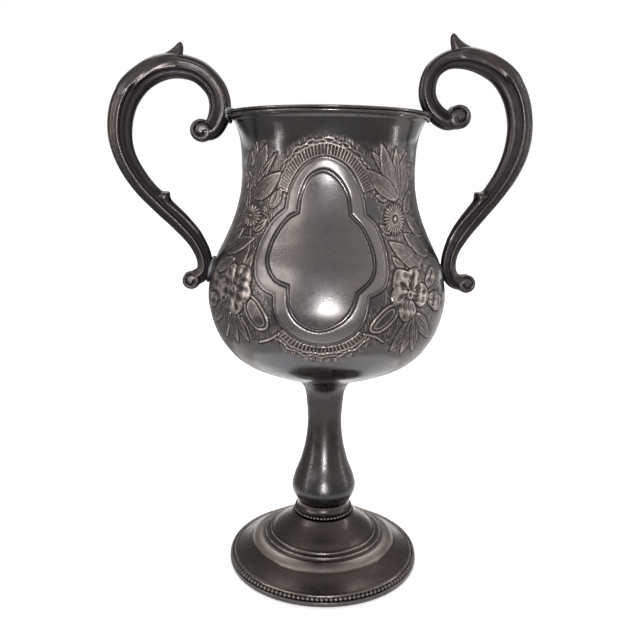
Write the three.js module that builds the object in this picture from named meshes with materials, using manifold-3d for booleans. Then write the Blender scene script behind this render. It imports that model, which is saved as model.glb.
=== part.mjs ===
// Two-handled loving cup: a spun bowl and baluster stem on a stepped, beaded foot.
// Millimetres, +Z up. The origin is on the cup's axis, in the plane that the foot stands on.
// The handles lie in the XZ plane, and the front of the cup faces -Y.

import * as THREE from 'three';
import { mergeVertices } from 'three/addons/utils/BufferGeometryUtils.js';
import Module from 'manifold-3d';

const wasm = await Module();
wasm.setup();

// Driving dimensions
const GAP = 0.3;
const BOWL_WALL = 1.3;
const STEM_WALL = 1.2;
const FOOT_WALL = 1.2;
const SOLDER_THICKNESS = 0.7;
const SOLDER_SPREAD = 1.2;

const FOOT_RADIUS = 48;
const FOOT_BAND_HEIGHT = 2;
const FOOT_BAND_INNER_RADIUS = 44.4;
const FOOT_BEAD_RADIUS = 0.95;
const FOOT_TOP = 25;
const COLLAR_BEAD_RADIUS = 0.85;
const COLLAR_BEAD_CIRCLE = 14.25;
const COLLAR_TOP = 31.0;
const STEM_TOP = 94.8;
const BOWL_BOTTOM = 95.1;
const RIM_HEIGHT = 221.5;
const RIM_RADIUS = 46.5;
const RIM_WIRE_HEIGHT = 2.7;
const LIP_RADIUS = 44.6;
const HANDLE_DEPTH_RATIO = 0.8;

const BOLT_RADIUS = 2.3;
const BOLT_HOLE_RADIUS = 2.6;
const BOLT_HEAD_RADIUS = 7;
const BOLT_HEAD_HEIGHT = 2.4;
const BOLT_END = 17;
const WASHER_RADIUS = 7.5;
const WASHER_THICKNESS = 1.2;
const NUT_RADIUS = 4.9;
const NUT_HEIGHT = 3.6;

const BIG_SEGMENTS = 48;
const SMALL_SEGMENTS = 24;

// Outlines, as [radius, height] from the bottom up
const BOWL_OUTLINE = [
  [13.5, BOWL_BOTTOM], [20.7, 98], [31.5, 102], [40.2, 106], [47.1, 112], [52.4, 120], [55.5, 129],
  [56.8, 137], [55.9, 145.5], [53, 155.5], [47.8, 166], [43.1, 177.5], [40.6, 189], [40.2, 200],
  [41.1, 210], [43.2, 216.6], [LIP_RADIUS, 218.7], [LIP_RADIUS, RIM_HEIGHT - 0.2],
];
const STEM_OUTLINE = [
  [12.6, COLLAR_TOP + GAP], [14.6, 34], [16.2, 38.6], [15.1, 44], [12.1, 52], [9.6, 62],
  [8.5, 73], [8.9, 82], [10.1, 90], [12.9, STEM_TOP],
];
const FOOT_OUTLINE = [
  [45.7, FOOT_BAND_HEIGHT + GAP], [45.7, 4.1], [44.4, 4.7], [40.5, 6.9], [36.3, 9.9],
  [34, 11.5], [31.7, 12.6], [30.2, 13.1], [29.4, 14], [27.5, 14.5], [26.5, 15.2],
  [24, 17.1], [20.5, 19.8], [17.5, 22.4], [15.4, FOOT_TOP],
];

// Handle centre lines from the upper curl to the lower one, as
// [distance from the axis, height, width of the bar]
const LEFT_HANDLE = [
  [58.2, 213, 9.2], [53.5, 213.8, 9], [50, 220.8, 10], [51, 229.8, 9.9], [57.8, 237.6, 10.2],
  [66, 240.3, 10.6], [75, 239.7, 11.4], [84.5, 234.4, 11.3], [91.6, 225.2, 11.5],
  [94.4, 212.5, 10.8], [92.7, 201.5, 9.6], [86.2, 189.6, 9.2], [77.7, 180.3, 9],
  [68.2, 171, 8.7], [61.5, 162.8, 8], [58.1, 154.5, 7.3], [58.7, 148.4, 7.2], [64.4, 144.6, 7.6],
];
const RIGHT_HANDLE = [
  [60.7, 221.3, 10], [55.5, 219.8, 8.9], [49.3, 223.6, 8.8], [45.6, 231, 8.3], [47.2, 240.4, 8],
  [53.3, 245.8, 8.2], [62, 247.6, 10], [71, 245.9, 10.9], [80.5, 240.8, 11.5],
  [87.4, 231.8, 11.9], [90.9, 219, 11.8], [90.2, 207, 11.7], [86.3, 196.2, 10.7],
  [80.2, 186.4, 9.9], [72.2, 176.6, 9.8], [64.8, 166.7, 9], [60.4, 157.4, 7.7],
  [59.9, 149.3, 7.5], [62.6, 144.2, 7.6], [68.8, 142.5, 8.2],
];
// Thumb spurs: the tip of each, and the bump of the leaf on the inner side of the lower bar
const LEFT_SPUR_TIP = [66.7, 250.6];
const RIGHT_SPUR_TIP = [56.6, 258.1];
const LEFT_LEAF = [76.2, 183.8];
const RIGHT_LEAF = [74, 185.2];
const LEAF_RADIUS = 2.9;

const silverPlate = (name, color, roughness) => {
  const material = new THREE.MeshStandardMaterial({ color, roughness, metalness: 1 });
  material.name = name;
  return material;
};
const materials = {
  bowl: silverPlate('bowl_plate', 0x5c5a5c, 0.32),
  handle: silverPlate('handle_plate', 0x55504f, 0.35),
  foot: silverPlate('foot_plate', 0x4b4340, 0.4),
  bead: silverPlate('bead_plate', 0x6a6260, 0.35),
  solder: silverPlate('solder', 0x8a8682, 0.5),
  brass: silverPlate('brass', 0xa58a4c, 0.45),
};

const trophy = new THREE.Group();

function addPiece(name, geometry, material) {
  const mesh = new THREE.Mesh(geometry, material);
  mesh.name = name;
  trophy.add(mesh);
}

function toSolid(geometry) {
  const bare = geometry.index ? geometry.clone() : geometry;
  bare.deleteAttribute('normal');
  bare.deleteAttribute('uv');
  const merged = mergeVertices(bare, 1e-4);
  const mesh = new wasm.Mesh({
    numProp: 3,
    vertProperties: new Float32Array(merged.attributes.position.array),
    triVerts: new Uint32Array(merged.index.array),
  });
  return new wasm.Manifold(mesh);
}

function toGeometry(solid) {
  const mesh = solid.getMesh();
  const geometry = new THREE.BufferGeometry();
  geometry.setAttribute('position', new THREE.BufferAttribute(new Float32Array(mesh.vertProperties), 3));
  geometry.setIndex(new THREE.BufferAttribute(new Uint32Array(mesh.triVerts), 1));
  geometry.computeVertexNormals();
  return geometry;
}

// A cut can leave slivers beside the piece itself, so only the biggest body is kept.
function biggestBody(solid) {
  return solid.decompose().reduce((best, body) => (body.volume() > best.volume() ? body : best));
}

// A lathe turned about +Z: three.js turns about +Y, so the result is tipped upright.
function turn(outline, segments) {
  const points = outline.map(([radius, height]) => new THREE.Vector2(radius, height));
  const geometry = new THREE.LatheGeometry(points, segments);
  geometry.rotateX(Math.PI / 2);
  geometry.rotateZ(Math.PI / 2);
  return geometry;
}

function smoothOutline(outline, steps) {
  const curve = new THREE.SplineCurve(outline.map(([radius, height]) => new THREE.Vector2(radius, height)));
  return curve.getPoints(steps).map((point) => [point.x, point.y]);
}

// The same outline moved sideways by a distance, to the left of its direction of travel
function offsetOutline(outline, distance) {
  return outline.map(([radius, height], index) => {
    const [fromRadius, fromHeight] = outline[Math.max(index - 1, 0)];
    const [toRadius, toHeight] = outline[Math.min(index + 1, outline.length - 1)];
    const length = Math.hypot(toRadius - fromRadius, toHeight - fromHeight);
    const along = [(toRadius - fromRadius) / length, (toHeight - fromHeight) / length];
    return [radius - along[1] * distance, height + along[0] * distance];
  });
}

function closedOutline(outline) {
  return [...outline, outline[0]];
}

function ringOutline(circleRadius, height, sectionRadius, sides) {
  const section = [];
  for (let side = 0; side <= sides; side += 1) {
    const angle = ((side % sides) + 0.5) * ((2 * Math.PI) / sides);
    section.push([circleRadius + sectionRadius * Math.cos(angle), height + sectionRadius * Math.sin(angle)]);
  }
  return section;
}

// ---------------------------------------------------------------- bowl and rim

const bowlOuter = smoothOutline(BOWL_OUTLINE, 16);

function makeBowl() {
  const inner = offsetOutline(bowlOuter, BOWL_WALL);
  const floorHeight = BOWL_BOTTOM + BOWL_WALL;
  inner[0] = [13.2, floorHeight];
  const lip = inner[inner.length - 1];
  inner[inner.length - 1] = [lip[0], bowlOuter[bowlOuter.length - 1][1]];
  const outline = [
    [BOLT_HOLE_RADIUS, BOWL_BOTTOM],
    ...bowlOuter,
    ...inner.reverse(),
    [BOLT_HOLE_RADIUS, floorHeight],
  ];
  return turn(closedOutline(outline), BIG_SEGMENTS);
}

// The outside of the wire: two reeds, a thin one above a broad one
function rimWireOutline(grow) {
  const bottom = RIM_HEIGHT - RIM_WIRE_HEIGHT;
  return [
    [RIM_RADIUS - 1.2 + grow, bottom - grow],
    [RIM_RADIUS - 0.3 + grow, bottom + 0.6],
    [RIM_RADIUS - 0.3 + grow, RIM_HEIGHT - 1.2],
    [RIM_RADIUS + grow, RIM_HEIGHT - 0.7],
    [RIM_RADIUS - 0.4 + grow, RIM_HEIGHT + grow],
  ];
}

function makeRimWire() {
  const inside = LIP_RADIUS + GAP;
  const bottom = RIM_HEIGHT - RIM_WIRE_HEIGHT;
  const outline = [[inside, bottom], ...rimWireOutline(0), [inside, RIM_HEIGHT]];
  return turn(closedOutline(outline), BIG_SEGMENTS);
}

// The solid that the bowl and its rim fill, grown by a distance: it fits the handles to the body.
function bodyEnvelope(grow) {
  const wall = offsetOutline(bowlOuter, -grow).filter(([, height]) => (
    height < RIM_HEIGHT - RIM_WIRE_HEIGHT - grow - 0.3
  ));
  const outline = [[0, wall[0][1]], ...wall, ...rimWireOutline(grow), [0, RIM_HEIGHT + grow]];
  return toSolid(turn(outline, BIG_SEGMENTS));
}

// ---------------------------------------------------------------- handles

// A bar of round-cornered section along a flat centre line, tapering as its widths say and rounded
// at both ends. Each knot of the curve holds the distance, the width and the height.
function makeBar(knots, side, grow) {
  const curve = new THREE.CatmullRomCurve3(knots.map(([reach, height, width]) => (
    new THREE.Vector3(reach, width, height)
  )));
  const steps = 2 * (knots.length - 1);
  const sides = 10;
  const rings = [];
  const addRing = (knot, direction, shift, scale) => {
    const halfWidth = 0.5 * knot.y + grow;
    rings.push({ knot, direction, shift: shift * halfWidth, halfWidth: halfWidth * scale });
  };
  const directionAt = (share) => {
    const tangent = curve.getTangent(share);
    const length = Math.hypot(tangent.x, tangent.z);
    return [tangent.x / length, tangent.z / length];
  };
  const endAngles = [1.25, 0.75, 0.35];
  endAngles.forEach((angle) => addRing(curve.getPoint(0), directionAt(0), -Math.sin(angle), Math.cos(angle)));
  for (let step = 0; step <= steps; step += 1) {
    addRing(curve.getPoint(step / steps), directionAt(step / steps), 0, 1);
  }
  endAngles.reverse().forEach((angle) => addRing(curve.getPoint(1), directionAt(1), Math.sin(angle), Math.cos(angle)));

  const positions = [];
  rings.forEach(({ knot, direction, shift, halfWidth }) => {
    for (let corner = 0; corner < sides; corner += 1) {
      const angle = (corner / sides) * 2 * Math.PI;
      const across = halfWidth * Math.cos(angle);
      const depth = halfWidth * HANDLE_DEPTH_RATIO * Math.sin(angle);
      positions.push(
        side * (knot.x + direction[0] * shift - direction[1] * across),
        depth,
        knot.z + direction[1] * shift + direction[0] * across,
      );
    }
  });
  const indices = [];
  const addFace = (first, second, third) => {
    indices.push(...(side > 0 ? [first, second, third] : [first, third, second]));
  };
  for (let ring = 0; ring < rings.length - 1; ring += 1) {
    for (let corner = 0; corner < sides; corner += 1) {
      const next = (corner + 1) % sides;
      const low = ring * sides;
      const high = low + sides;
      addFace(low + corner, high + corner, high + next);
      addFace(low + corner, high + next, low + next);
    }
  }
  const lastRing = (rings.length - 1) * sides;
  for (let corner = 1; corner < sides - 1; corner += 1) {
    addFace(0, corner, corner + 1);
    addFace(lastRing, lastRing + corner + 1, lastRing + corner);
  }
  const geometry = new THREE.BufferGeometry();
  geometry.setAttribute('position', new THREE.BufferAttribute(new Float32Array(positions), 3));
  geometry.setIndex(indices);
  return toSolid(geometry);
}

// The thumb spur: a leaf tip that stands up from the top of the bar
function makeSpur([tipReach, tipHeight], side) {
  const outline = new THREE.Shape();
  outline.moveTo(side * (tipReach - 0.7), tipHeight - 9);
  outline.lineTo(side * (tipReach - 0.9), tipHeight - 1.2);
  outline.quadraticCurveTo(side * (tipReach - 0.6), tipHeight, side * tipReach, tipHeight);
  outline.quadraticCurveTo(side * (tipReach + 3), tipHeight - 4, side * (tipReach + 11.5), tipHeight - 6.6);
  outline.lineTo(side * (tipReach + 8), tipHeight - 10);
  const thickness = 3.2;
  const geometry = new THREE.ExtrudeGeometry(outline, {
    depth: thickness,
    bevelEnabled: false,
    curveSegments: 4,
  });
  geometry.translate(0, 0, -thickness / 2);
  geometry.rotateX(Math.PI / 2);
  return toSolid(geometry);
}

function makeLeaf([reach, height], side) {
  const geometry = new THREE.SphereGeometry(LEAF_RADIUS, 12, 8);
  geometry.translate(side * reach, 0, height);
  return toSolid(geometry);
}

function makeHandle(knots, spurTip, leaf, side) {
  const whole = makeBar(knots, side, 0).add(makeSpur(spurTip, side)).add(makeLeaf(leaf, side));
  return toGeometry(biggestBody(whole.subtract(bodyEnvelope(2 * GAP + SOLDER_THICKNESS))));
}

// Solder fills the space between a handle and the body: the part of a slightly swollen bar that lies
// in a thin layer over the body, above or below the middle of the handle.
function makeSolder(knots, side, isUpper) {
  const layer = bodyEnvelope(GAP + SOLDER_THICKNESS).subtract(bodyEnvelope(GAP));
  const half = new THREE.BoxGeometry(120, 60, 100);
  half.translate(side * 60, 0, isUpper ? 240 : 130);
  return toGeometry(biggestBody(makeBar(knots, side, SOLDER_SPREAD).intersect(layer).intersect(toSolid(half))));
}

// ---------------------------------------------------------------- stem and collar

function makeStem() {
  const outer = smoothOutline(STEM_OUTLINE, 14);
  const inner = smoothOutline(STEM_OUTLINE, 9);
  const bottom = STEM_OUTLINE[0][1];
  const hollow = offsetOutline(inner, STEM_WALL).filter(([, height]) => (
    height > bottom + STEM_WALL + 0.5 && height < STEM_TOP - STEM_WALL - 0.5
  ));
  const outline = [
    [BOLT_HOLE_RADIUS, bottom],
    ...outer,
    [BOLT_HOLE_RADIUS, STEM_TOP],
    [BOLT_HOLE_RADIUS, STEM_TOP - STEM_WALL],
    [10.4, STEM_TOP - STEM_WALL],
    ...hollow.reverse(),
    [11.6, bottom + STEM_WALL],
    [BOLT_HOLE_RADIUS, bottom + STEM_WALL],
  ];
  return turn(closedOutline(outline), SMALL_SEGMENTS);
}

function makeCollar() {
  const beadTop = FOOT_TOP + GAP + 2 * COLLAR_BEAD_RADIUS;
  const spigotRadius = COLLAR_BEAD_CIRCLE - COLLAR_BEAD_RADIUS - GAP;
  const outline = [
    [BOLT_HOLE_RADIUS, FOOT_TOP + GAP],
    [spigotRadius, FOOT_TOP + GAP],
    [spigotRadius, beadTop + GAP],
    [14.5, beadTop + GAP],
    [13.8, 28.2],
    [13.1, 29.2],
    [12.7, COLLAR_TOP],
    [BOLT_HOLE_RADIUS, COLLAR_TOP],
  ];
  return turn(closedOutline(outline), SMALL_SEGMENTS);
}

function makeCollarBeadWire() {
  const height = FOOT_TOP + GAP + COLLAR_BEAD_RADIUS;
  return turn(ringOutline(COLLAR_BEAD_CIRCLE, height, COLLAR_BEAD_RADIUS, 6), 1.5 * SMALL_SEGMENTS);
}

// ---------------------------------------------------------------- foot

function makeFootDome() {
  const inner = offsetOutline(FOOT_OUTLINE, FOOT_WALL);
  const underside = inner.filter((point, index) => index % 2 === 0 && index > 0 && index < inner.length - 1);
  const outline = [
    ...FOOT_OUTLINE,
    [BOLT_HOLE_RADIUS, FOOT_TOP],
    [BOLT_HOLE_RADIUS, FOOT_TOP - FOOT_WALL],
    [14.9, FOOT_TOP - FOOT_WALL],
    ...underside.reverse(),
    [FOOT_OUTLINE[0][0] - FOOT_WALL, FOOT_OUTLINE[0][1]],
  ];
  return turn(closedOutline(outline), BIG_SEGMENTS);
}

function makeFootBeadWire() {
  const height = FOOT_BAND_HEIGHT + GAP + FOOT_BEAD_RADIUS;
  return turn(ringOutline(FOOT_RADIUS - FOOT_BEAD_RADIUS, height, FOOT_BEAD_RADIUS, 6), BIG_SEGMENTS);
}

function makeFootBand() {
  const outline = [
    [FOOT_BAND_INNER_RADIUS, 0],
    [FOOT_RADIUS - 0.5, 0],
    [FOOT_RADIUS, 0.7],
    [FOOT_RADIUS, FOOT_BAND_HEIGHT - 0.6],
    [FOOT_RADIUS - 0.5, FOOT_BAND_HEIGHT],
    [FOOT_BAND_INNER_RADIUS, FOOT_BAND_HEIGHT],
  ];
  return turn(closedOutline(outline), BIG_SEGMENTS);
}

// ---------------------------------------------------------------- fixing through the stem

function makeTieBolt() {
  const seat = BOWL_BOTTOM + BOWL_WALL + GAP;
  const outline = [
    [0, BOLT_END],
    [BOLT_RADIUS, BOLT_END],
    [BOLT_RADIUS, seat],
    [BOLT_HEAD_RADIUS, seat],
    [BOLT_HEAD_RADIUS - 0.4, seat + 0.4 * BOLT_HEAD_HEIGHT],
    [0.6 * BOLT_HEAD_RADIUS, seat + 0.85 * BOLT_HEAD_HEIGHT],
    [0, seat + BOLT_HEAD_HEIGHT],
  ];
  return turn(outline, SMALL_SEGMENTS);
}

// A flat plate with a round hole for the bolt: a washer has many sides and a nut has six.
function makePlate(outerRadius, sides, bottom, height) {
  const corners = [];
  for (let corner = 0; corner < sides; corner += 1) {
    const angle = (corner / sides) * 2 * Math.PI;
    corners.push(new THREE.Vector2(outerRadius * Math.cos(angle), outerRadius * Math.sin(angle)));
  }
  const outline = new THREE.Shape(corners);
  outline.holes.push(new THREE.Path().absarc(0, 0, BOLT_HOLE_RADIUS, 0, 2 * Math.PI, true));
  const geometry = new THREE.ExtrudeGeometry(outline, { depth: height, bevelEnabled: false, curveSegments: 8 });
  geometry.translate(0, 0, bottom);
  return geometry;
}

const washerTop = FOOT_TOP - FOOT_WALL - GAP;
const nutTop = washerTop - WASHER_THICKNESS - GAP;

addPiece('bowl', makeBowl(), materials.bowl);
addPiece('rim_wire', makeRimWire(), materials.bowl);
addPiece('handle_left', makeHandle(LEFT_HANDLE, LEFT_SPUR_TIP, LEFT_LEAF, -1), materials.handle);
addPiece('handle_right', makeHandle(RIGHT_HANDLE, RIGHT_SPUR_TIP, RIGHT_LEAF, 1), materials.handle);
addPiece('solder_upper_left', makeSolder(LEFT_HANDLE, -1, true), materials.solder);
addPiece('solder_lower_left', makeSolder(LEFT_HANDLE, -1, false), materials.solder);
addPiece('solder_upper_right', makeSolder(RIGHT_HANDLE, 1, true), materials.solder);
addPiece('solder_lower_right', makeSolder(RIGHT_HANDLE, 1, false), materials.solder);
addPiece('stem', makeStem(), materials.bowl);
addPiece('collar', makeCollar(), materials.foot);
addPiece('collar_bead_wire', makeCollarBeadWire(), materials.bead);
addPiece('foot_dome', makeFootDome(), materials.foot);
addPiece('foot_bead_wire', makeFootBeadWire(), materials.bead);
addPiece('foot_band', makeFootBand(), materials.foot);
addPiece('tie_bolt', makeTieBolt(), materials.brass);
addPiece('foot_washer', makePlate(WASHER_RADIUS, SMALL_SEGMENTS, washerTop - WASHER_THICKNESS, WASHER_THICKNESS),
  materials.brass);
addPiece('foot_nut', makePlate(NUT_RADIUS, 6, nutTop - NUT_HEIGHT, NUT_HEIGHT), materials.brass);

export default trophy;
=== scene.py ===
import math

import bmesh
import bpy
import numpy as np
from mathutils import Matrix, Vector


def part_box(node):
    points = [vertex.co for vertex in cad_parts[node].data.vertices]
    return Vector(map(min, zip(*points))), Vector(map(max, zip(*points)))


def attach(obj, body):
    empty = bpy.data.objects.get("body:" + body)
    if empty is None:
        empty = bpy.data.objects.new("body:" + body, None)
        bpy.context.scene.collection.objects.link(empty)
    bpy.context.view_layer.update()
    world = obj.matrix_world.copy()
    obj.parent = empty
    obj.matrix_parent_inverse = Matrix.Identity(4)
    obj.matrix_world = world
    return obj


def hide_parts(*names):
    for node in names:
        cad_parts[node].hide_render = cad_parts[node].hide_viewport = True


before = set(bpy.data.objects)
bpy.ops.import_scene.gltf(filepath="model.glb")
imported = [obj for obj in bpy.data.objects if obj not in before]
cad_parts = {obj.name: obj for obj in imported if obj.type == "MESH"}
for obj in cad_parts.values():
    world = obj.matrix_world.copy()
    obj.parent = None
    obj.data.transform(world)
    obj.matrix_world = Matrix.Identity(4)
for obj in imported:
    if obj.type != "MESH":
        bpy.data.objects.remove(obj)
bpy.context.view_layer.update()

# A tarnished silver-plated loving cup. Lengths are in millimetres in the frame of the CAD model, whose
# origin is on the axis of the cup in the plane that the foot stands on; MM turns them into metres.
MM = 0.001
BODY = "root"


# ---------------------------------------------------------------- curves and meshes

def spline(points, steps, closed=False):
    """A smooth curve through the points, a centripetal Catmull-Rom spline with that many steps a span."""
    knots = np.array(points, float)
    if closed:
        knots = np.vstack([knots[-1], knots, knots[0], knots[1]])
    else:
        knots = np.vstack([2 * knots[0] - knots[1], knots, 2 * knots[-1] - knots[-2]])
    share = np.linspace(0, 1, steps, endpoint=False)[:, None]
    spans = []
    for before, start, end, after in zip(knots, knots[1:], knots[2:], knots[3:]):
        lead, span, trail = (
            max(np.linalg.norm(q - p), 1e-9) ** 0.5
            for p, q in ((before, start), (start, end), (end, after))
        )
        leave = (start - before) / lead - (end - before) / (lead + span) + (end - start) / span
        arrive = (end - start) / span - (after - start) / (span + trail) + (after - end) / trail
        leave, arrive = leave * span, arrive * span
        square = 3 * (end - start) - 2 * leave - arrive
        cube = 2 * (start - end) + leave + arrive
        spans.append(start + leave * share + square * share**2 + cube * share**3)
    if not closed:
        spans.append(knots[-2][None])
    return np.vstack(spans)


def arc_length(line):
    """The distance along a line at each of its points."""
    steps = np.linalg.norm(np.diff(line, axis=0), axis=1)
    return np.concatenate([[0], np.cumsum(steps)])


def resample(line, distances):
    """The line's points at those distances along it."""
    along = arc_length(line)
    return np.stack([np.interp(distances, along, line[:, k]) for k in range(line.shape[1])], 1)


def smoothstep(low, high, value):
    """Rises smoothly from 0 at low to 1 at high. With low above high it falls instead."""
    t = np.clip((value - low) / (high - low), 0, 1)
    return t * t * (3 - 2 * t)


def bell(value, width):
    """A bump of height 1 round zero, down to about a third at width."""
    return np.exp(-((value / width) ** 2))


def blur(values, radius, rounds=3):
    """A soft blur over a grid, radius in cells, by running means along both its directions."""
    for _ in range(rounds):
        for axis in (0, 1):
            pad = [(0, 0), (0, 0)]
            pad[axis] = (radius + 1, radius)
            total = np.cumsum(np.pad(values, pad, mode="edge"), axis=axis)
            ahead = np.take(total, range(2 * radius + 1, total.shape[axis]), axis=axis)
            behind = np.take(total, range(0, total.shape[axis] - 2 * radius - 1), axis=axis)
            values = (ahead - behind) / (2 * radius + 1)
    return values


def arc(centre, radii, start, end, count):
    """Points (radius, height) along an arc. Its angles are in radians, from 0 outwards to pi / 2 up."""
    return [(centre[0] + radii[0] * math.cos(a), centre[1] + radii[1] * math.sin(a))
            for a in np.linspace(start, end, count)]


def finish_mesh(mesh, sharp_degrees):
    """Smooth shading with crisp edges where the faces turn by more than that angle."""
    mesh.shade_smooth()
    mesh.set_sharp_from_angle(angle=math.radians(sharp_degrees))


def add_object(name, data):
    made = bpy.data.objects.new(name, data)
    bpy.context.scene.collection.objects.link(made)
    return made


def add_piece(mesh, node, slot):
    """Puts a mesh into the scene as a piece that stands for a CAD node, in the material of its slot."""
    piece = add_object(mesh.name, mesh)
    mesh.materials.append(MATERIALS[slot])
    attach(piece, BODY)
    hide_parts(node)


def grid_faces(rows, columns, wrap_rows):
    """The corners of the quads between the rows and columns of a grid, whose columns close into a ring."""
    bands = rows if wrap_rows else rows - 1
    row, column = np.meshgrid(np.arange(bands), np.arange(columns), indexing="ij")
    low, high = row * columns, ((row + 1) % rows) * columns
    after = (column + 1) % columns
    return np.stack([low + column, low + after, high + after, high + column], -1).reshape(-1, 4)


def add_layer(mesh, name, values):
    """A number at each point of a mesh, for its material to read."""
    layer = mesh.attributes.new(name, "FLOAT", "POINT")
    layer.data.foreach_set("value", np.asarray(values, np.float32).ravel())


def grid_mesh(name, points, wear=None, matted=None, wrap_rows=True, sharp_degrees=40):
    """A mesh over a (rows, columns, 3) grid of points that closes round its columns, and round its rows
    too with wrap_rows. Otherwise its first and last rows shrink to points. Its faces look out."""
    rows, columns = points.shape[:2]
    quads = grid_faces(rows, columns, wrap_rows)
    flat = points.reshape(-1, 3)
    corners = flat[quads]
    across = np.cross(corners[:, 2] - corners[:, 0], corners[:, 3] - corners[:, 1])
    if (corners.mean(1) * across).sum() < 0:
        quads = quads[:, ::-1]
    mesh = bpy.data.meshes.new(name)
    mesh.vertices.add(len(flat))
    mesh.vertices.foreach_set("co", (flat * MM).astype(np.float32).ravel())
    mesh.loops.add(quads.size)
    mesh.loops.foreach_set("vertex_index", quads.astype(np.int32).ravel())
    mesh.polygons.add(len(quads))
    mesh.polygons.foreach_set("loop_start", np.arange(0, quads.size, 4, dtype=np.int32))
    mesh.update(calc_edges=True)
    add_layer(mesh, "wear", np.zeros(len(flat)) if wear is None else wear)
    if matted is not None:
        add_layer(mesh, "matted", matted)
    if not wrap_rows:
        weld(mesh)
    finish_mesh(mesh, sharp_degrees)
    return mesh


def weld(mesh):
    """Merges the points that lie together, so that a row drawn in to a point closes the mesh."""
    model = bmesh.new()
    model.from_mesh(mesh)
    bmesh.ops.remove_doubles(model, verts=model.verts, dist=0.004 * MM)
    bmesh.ops.dissolve_degenerate(model, edges=model.edges, dist=0.002 * MM)
    model.to_mesh(mesh)
    model.free()


def extent(node):
    """The lowest and the highest z of a CAD node, and how far it reaches along +X, in millimetres."""
    low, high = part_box(node)
    return low.z / MM, high.z / MM, high.x / MM


def fitted(outline, node):
    """An outline of (radius, height) moved and scaled a little onto the box of its CAD node."""
    low, high, reach = extent(node)
    line = np.array(outline, float)
    heights = line[:, 1]
    share = (heights - heights.min()) / np.ptp(heights)
    return np.stack([line[:, 0] * reach / line[:, 0].max(), low + share * (high - low)], 1)


def turned(name, outline, segments, wear=None, matted=None, sharp_degrees=35, closed=True):
    """The mesh of an outline turned about the axis of the cup. Wear and matted go by outline point."""
    line = np.array(outline, float)
    angle = np.linspace(0, 2 * math.pi, segments, endpoint=False)
    points = np.empty((len(line), segments, 3))
    points[..., 0] = line[:, :1] * np.cos(angle)
    points[..., 1] = line[:, :1] * np.sin(angle)
    points[..., 2] = line[:, 1:]
    layers = [None if layer is None else np.repeat(np.asarray(layer)[:, None], segments, 1)
              for layer in (wear, matted)]
    return grid_mesh(name, points, *layers, wrap_rows=closed, sharp_degrees=sharp_degrees)


def outline_wear(line, reach):
    """How far each point of a closed outline stands out of what is within reach of it, from -1 in a groove
    to 1 on a ridge."""
    side = 8  # points looked at on each side
    closed = np.vstack([line[-side:], line, line[:side]])
    wear = np.zeros(len(line))
    for k in range(len(line)):
        here = closed[k + side]
        near = closed[k:k + 2 * side + 1]
        distance = np.linalg.norm(near - here, axis=1)
        weight = np.where(distance < reach, 1.0, 0)[:, None]
        middle = (near * weight).sum(0) / weight.sum()
        along = closed[k + side + 1] - closed[k + side - 1]
        normal = np.array([along[1], -along[0]]) / max(np.linalg.norm(along), 1e-9)
        wear[k] = np.dot(here - middle, normal) / (0.12 * reach)
    return np.clip(wear, -1, 1)


# ---------------------------------------------------------------- materials

class Nodes:
    """Short calls for building a material, or the world, out of shader nodes."""

    def __init__(self, owner):
        owner.use_nodes = True
        self.owner, self.tree = owner, owner.node_tree
        self.shader = self.tree.nodes.get("Principled BSDF") or self.tree.nodes["Background"]
        self.places = self.add("ShaderNodeTexCoord", {}).outputs

    def add(self, kind, inputs, **settings):
        """Adds a node. The keys of inputs are names or numbers of its input sockets."""
        node = self.tree.nodes.new(kind)
        for key, value in settings.items():
            setattr(node, key, value)
        for key, value in inputs.items():
            self.feed(node.inputs[key], value)
        return node

    def feed(self, socket, value):
        if isinstance(value, bpy.types.NodeSocket):
            self.tree.links.new(value, socket)
        elif isinstance(value, tuple) and len(value) == 3 and socket.type == "RGBA":
            socket.default_value = (*value, 1)
        else:
            socket.default_value = value

    def surface(self, values):
        """Sets or links inputs of the shader itself."""
        for key, value in values.items():
            self.feed(self.shader.inputs[key], value)

    def layer(self, name):
        return self.add("ShaderNodeAttribute", {}, attribute_name=name).outputs["Fac"]

    def noise(self, scale, detail=3.0, stretch=(1, 1, 1), roughness=0.55):
        mapping = self.add("ShaderNodeMapping", {"Vector": self.places["Object"], "Scale": stretch})
        values = {"Vector": mapping.outputs[0], "Scale": scale, "Detail": detail, "Roughness": roughness}
        return self.add("ShaderNodeTexNoise", values).outputs[0]

    def span(self, value, low, high, to_low=0.0, to_high=1.0):
        values = {"Value": value, "From Min": low, "From Max": high, "To Min": to_low, "To Max": to_high}
        return self.add("ShaderNodeMapRange", values).outputs[0]

    def math(self, operation, first, second):
        return self.add("ShaderNodeMath", {0: first, 1: second}, operation=operation).outputs[0]

    def mix(self, share, first, second, kind="RGBA"):
        """Mixes two colours, or two numbers where kind is FLOAT."""
        place_of_first, output = (6, 2) if kind == "RGBA" else (2, 0)
        values = {"Factor": share, place_of_first: first, place_of_first + 1: second}
        return self.add("ShaderNodeMix", values, data_type=kind).outputs[output]

    def ramp(self, value, stops):
        """A colour that goes smoothly through the (position, colour) stops."""
        node = self.add("ShaderNodeValToRGB", {0: value})
        node.color_ramp.interpolation = "EASE"
        marks = node.color_ramp.elements
        for k, (position, tone) in enumerate(stops):
            mark = marks[k] if k < 2 else marks.new(position)
            mark.position, mark.color = position, (*tone, 1)
        return node.outputs[0]

    def bump(self, height, strength, distance, **normal):
        values = {"Height": height, "Strength": strength, "Distance": distance, **normal}
        return self.add("ShaderNodeBump", values).outputs[0]


CHASED_TONE = 1.04      # of the warm tone, where the plate is chased
CHASED_DEPTH = 0.78     # how dark hollows are there, against 1 in plain plate
PALE_WARM, PALE_COOL = 1.35, 0.5    # of the warm and the cool tone, where the tarnish is rubbed off
DULLED = 0.14           # added to the roughness where the plate is chased or rubbed


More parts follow.
